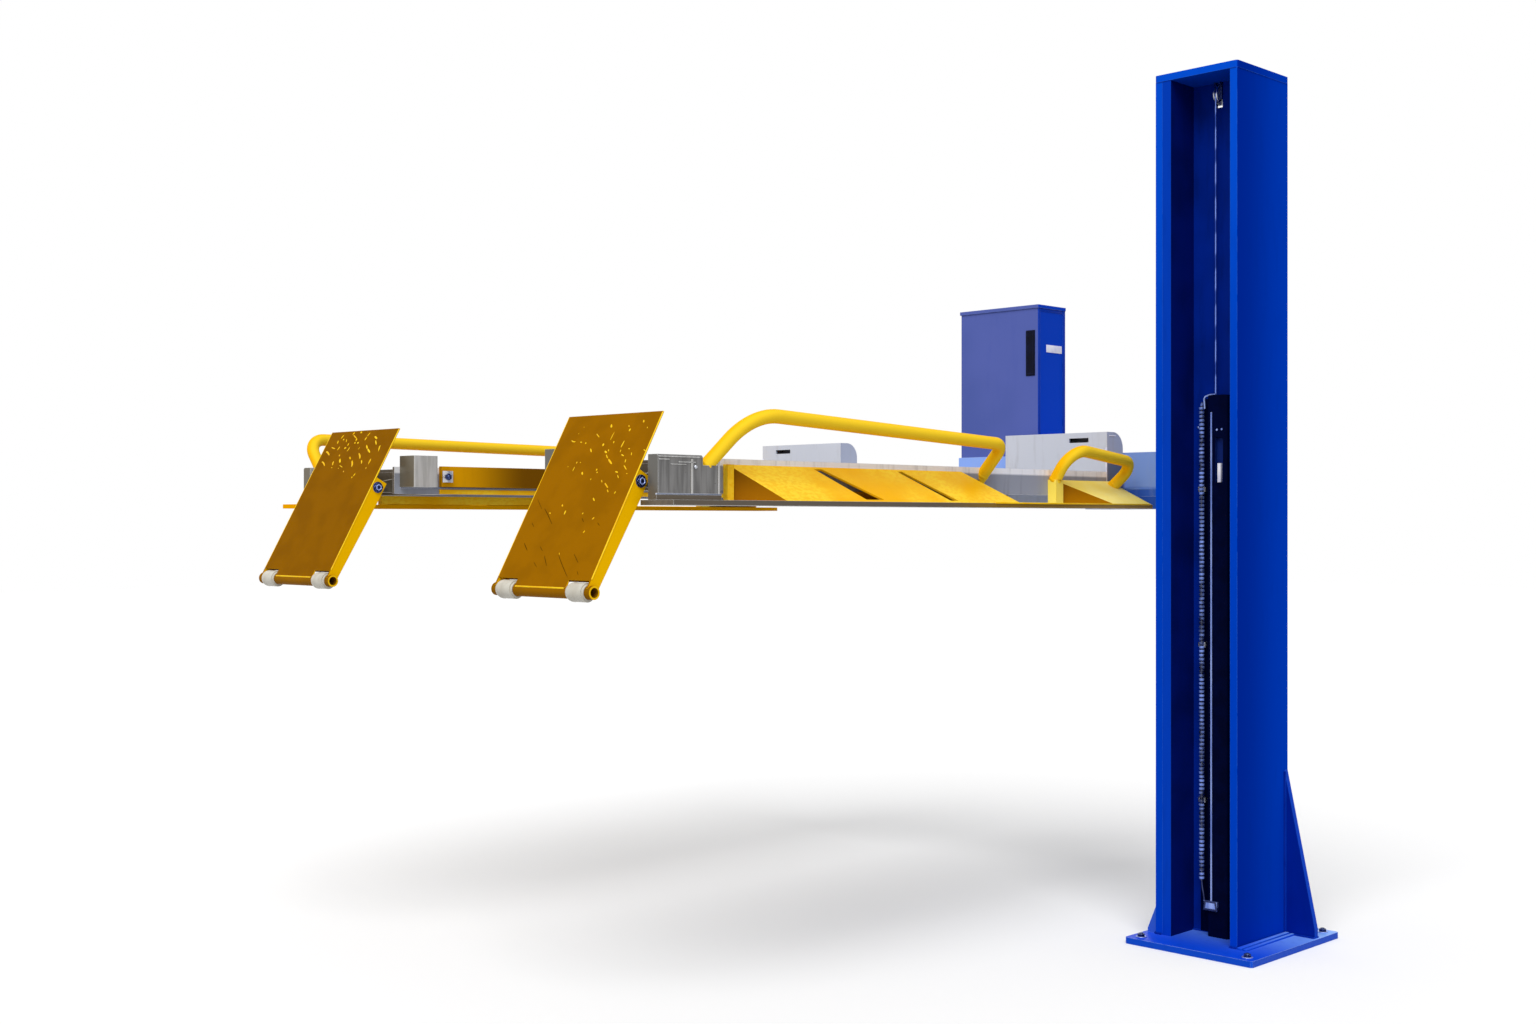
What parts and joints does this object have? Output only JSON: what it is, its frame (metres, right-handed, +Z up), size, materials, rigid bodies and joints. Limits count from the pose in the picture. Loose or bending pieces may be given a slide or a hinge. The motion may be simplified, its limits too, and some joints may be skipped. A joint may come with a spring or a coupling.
{
  "type": "single-post car lift",
  "caption": "Single-post vehicle lift: an upright H-section post with a sliding carriage, a side platform of twin runways, tilting front ramps and tubular guards.",
  "frame": {"origin": "on the floor, on the underside of the base plate, below the middle of the post's section", "axes": "+Z up the post, +X along the runways away from the front ramps, +Y from the post to the platform"},
  "size_m": [2.6055, 2.619, 2.772],
  "materials": {
    "blue_paint": "semi-gloss",
    "grey_paint": "satin",
    "yellow_paint": "semi-gloss",
    "worn_yellow_paint": "worn",
    "bare_steel": "satin",
    "black_plastic": "matte",
    "white_plastic": "matte"
  },
  "bodies": {
    "post": {"base_plate": "blue_paint", "post_web": "blue_paint", "post_outer_flange": "blue_paint", "post_inner_flange": "blue_paint", "post_channel_liner": "blue_paint", "post_cap": "blue_paint", "rear_gusset": "blue_paint", "foot_gussets": "blue_paint", "cylinder_cover": "black_plastic", "rope_pulley": "bare_steel", "pulley_bracket": "bare_steel", "lift_rope": "bare_steel", "rope_anchor": "blue_paint", "oil_pipe": "bare_steel", "conduit": "black_plastic", "conduit_clips": "bare_steel"},
    "platform": {"carriage": "blue_paint", "guide_rollers": "bare_steel", "guide_pins": "bare_steel", "lift_arm": "blue_paint", "arm_ribs": "blue_paint", "arm_shelf": "blue_paint", "cross_beam": "grey_paint", "cabinet_body": "blue_paint", "cabinet_lid": "blue_paint", "cabinet_door": "blue_paint", "near_runway_deck": "grey_paint", "near_runway_ledge": "grey_paint", "near_pivot_sill": "grey_paint", "near_front_blocks": "grey_paint", "near_side_bar": "yellow_paint", "near_long_wedge": "yellow_paint", "near_short_wedge": "yellow_paint", "near_long_guard": "yellow_paint", "near_short_guard": "yellow_paint", "far_runway_deck": "grey_paint", "far_runway_ledge": "grey_paint", "far_pivot_sill": "grey_paint", "far_front_blocks": "grey_paint", "far_side_bar": "yellow_paint", "far_long_wedge": "yellow_paint", "far_short_wedge": "yellow_paint", "far_long_guard": "yellow_paint", "far_short_guard": "yellow_paint"},
    "near_ramp": {"near_ramp_plate": "worn_yellow_paint", "near_ramp_bolts": "bare_steel", "near_ramp_tube": "yellow_paint"},
    "near_outer_roller_body": {"near_outer_roller": "white_plastic"},
    "near_inner_roller_body": {"near_inner_roller": "white_plastic"},
    "far_ramp": {"far_ramp_plate": "worn_yellow_paint", "far_ramp_bolts": "bare_steel", "far_ramp_tube": "yellow_paint"},
    "far_outer_roller_body": {"far_outer_roller": "white_plastic"},
    "far_inner_roller_body": {"far_inner_roller": "white_plastic"}
  },
  "joints": [
    {"name": "lift", "type": "slide", "parent": "post", "child": "platform", "axis": [0, 0, 1], "range_m": [-1.36, 0.4]},
    {"name": "near_ramp_tilt", "type": "hinge", "parent": "platform", "child": "near_ramp", "pos_m": [-1.988, 0.75, 1.45], "axis": [0, -1, 0], "range_deg": [-49.5, 0]},
    {"name": "near_outer_roller_spin", "type": "hinge", "parent": "near_ramp", "child": "near_outer_roller_body", "pos_m": [-2.15342, 0.5985, 1.15982], "axis": [0, 1, 0], "continuous": true},
    {"name": "near_inner_roller_spin", "type": "hinge", "parent": "near_ramp", "child": "near_inner_roller_body", "pos_m": [-2.15342, 0.9015, 1.15982], "axis": [0, 1, 0], "continuous": true},
    {"name": "far_ramp_tilt", "type": "hinge", "parent": "platform", "child": "far_ramp", "pos_m": [-1.988, 2.01, 1.45], "axis": [0, -1, 0], "range_deg": [-49.5, 0]},
    {"name": "far_outer_roller_spin", "type": "hinge", "parent": "far_ramp", "child": "far_outer_roller_body", "pos_m": [-2.15342, 2.1615, 1.15982], "axis": [0, 1, 0], "continuous": true},
    {"name": "far_inner_roller_spin", "type": "hinge", "parent": "far_ramp", "child": "far_inner_roller_body", "pos_m": [-2.15342, 1.8585, 1.15982], "axis": [0, 1, 0], "continuous": true}
  ]
}
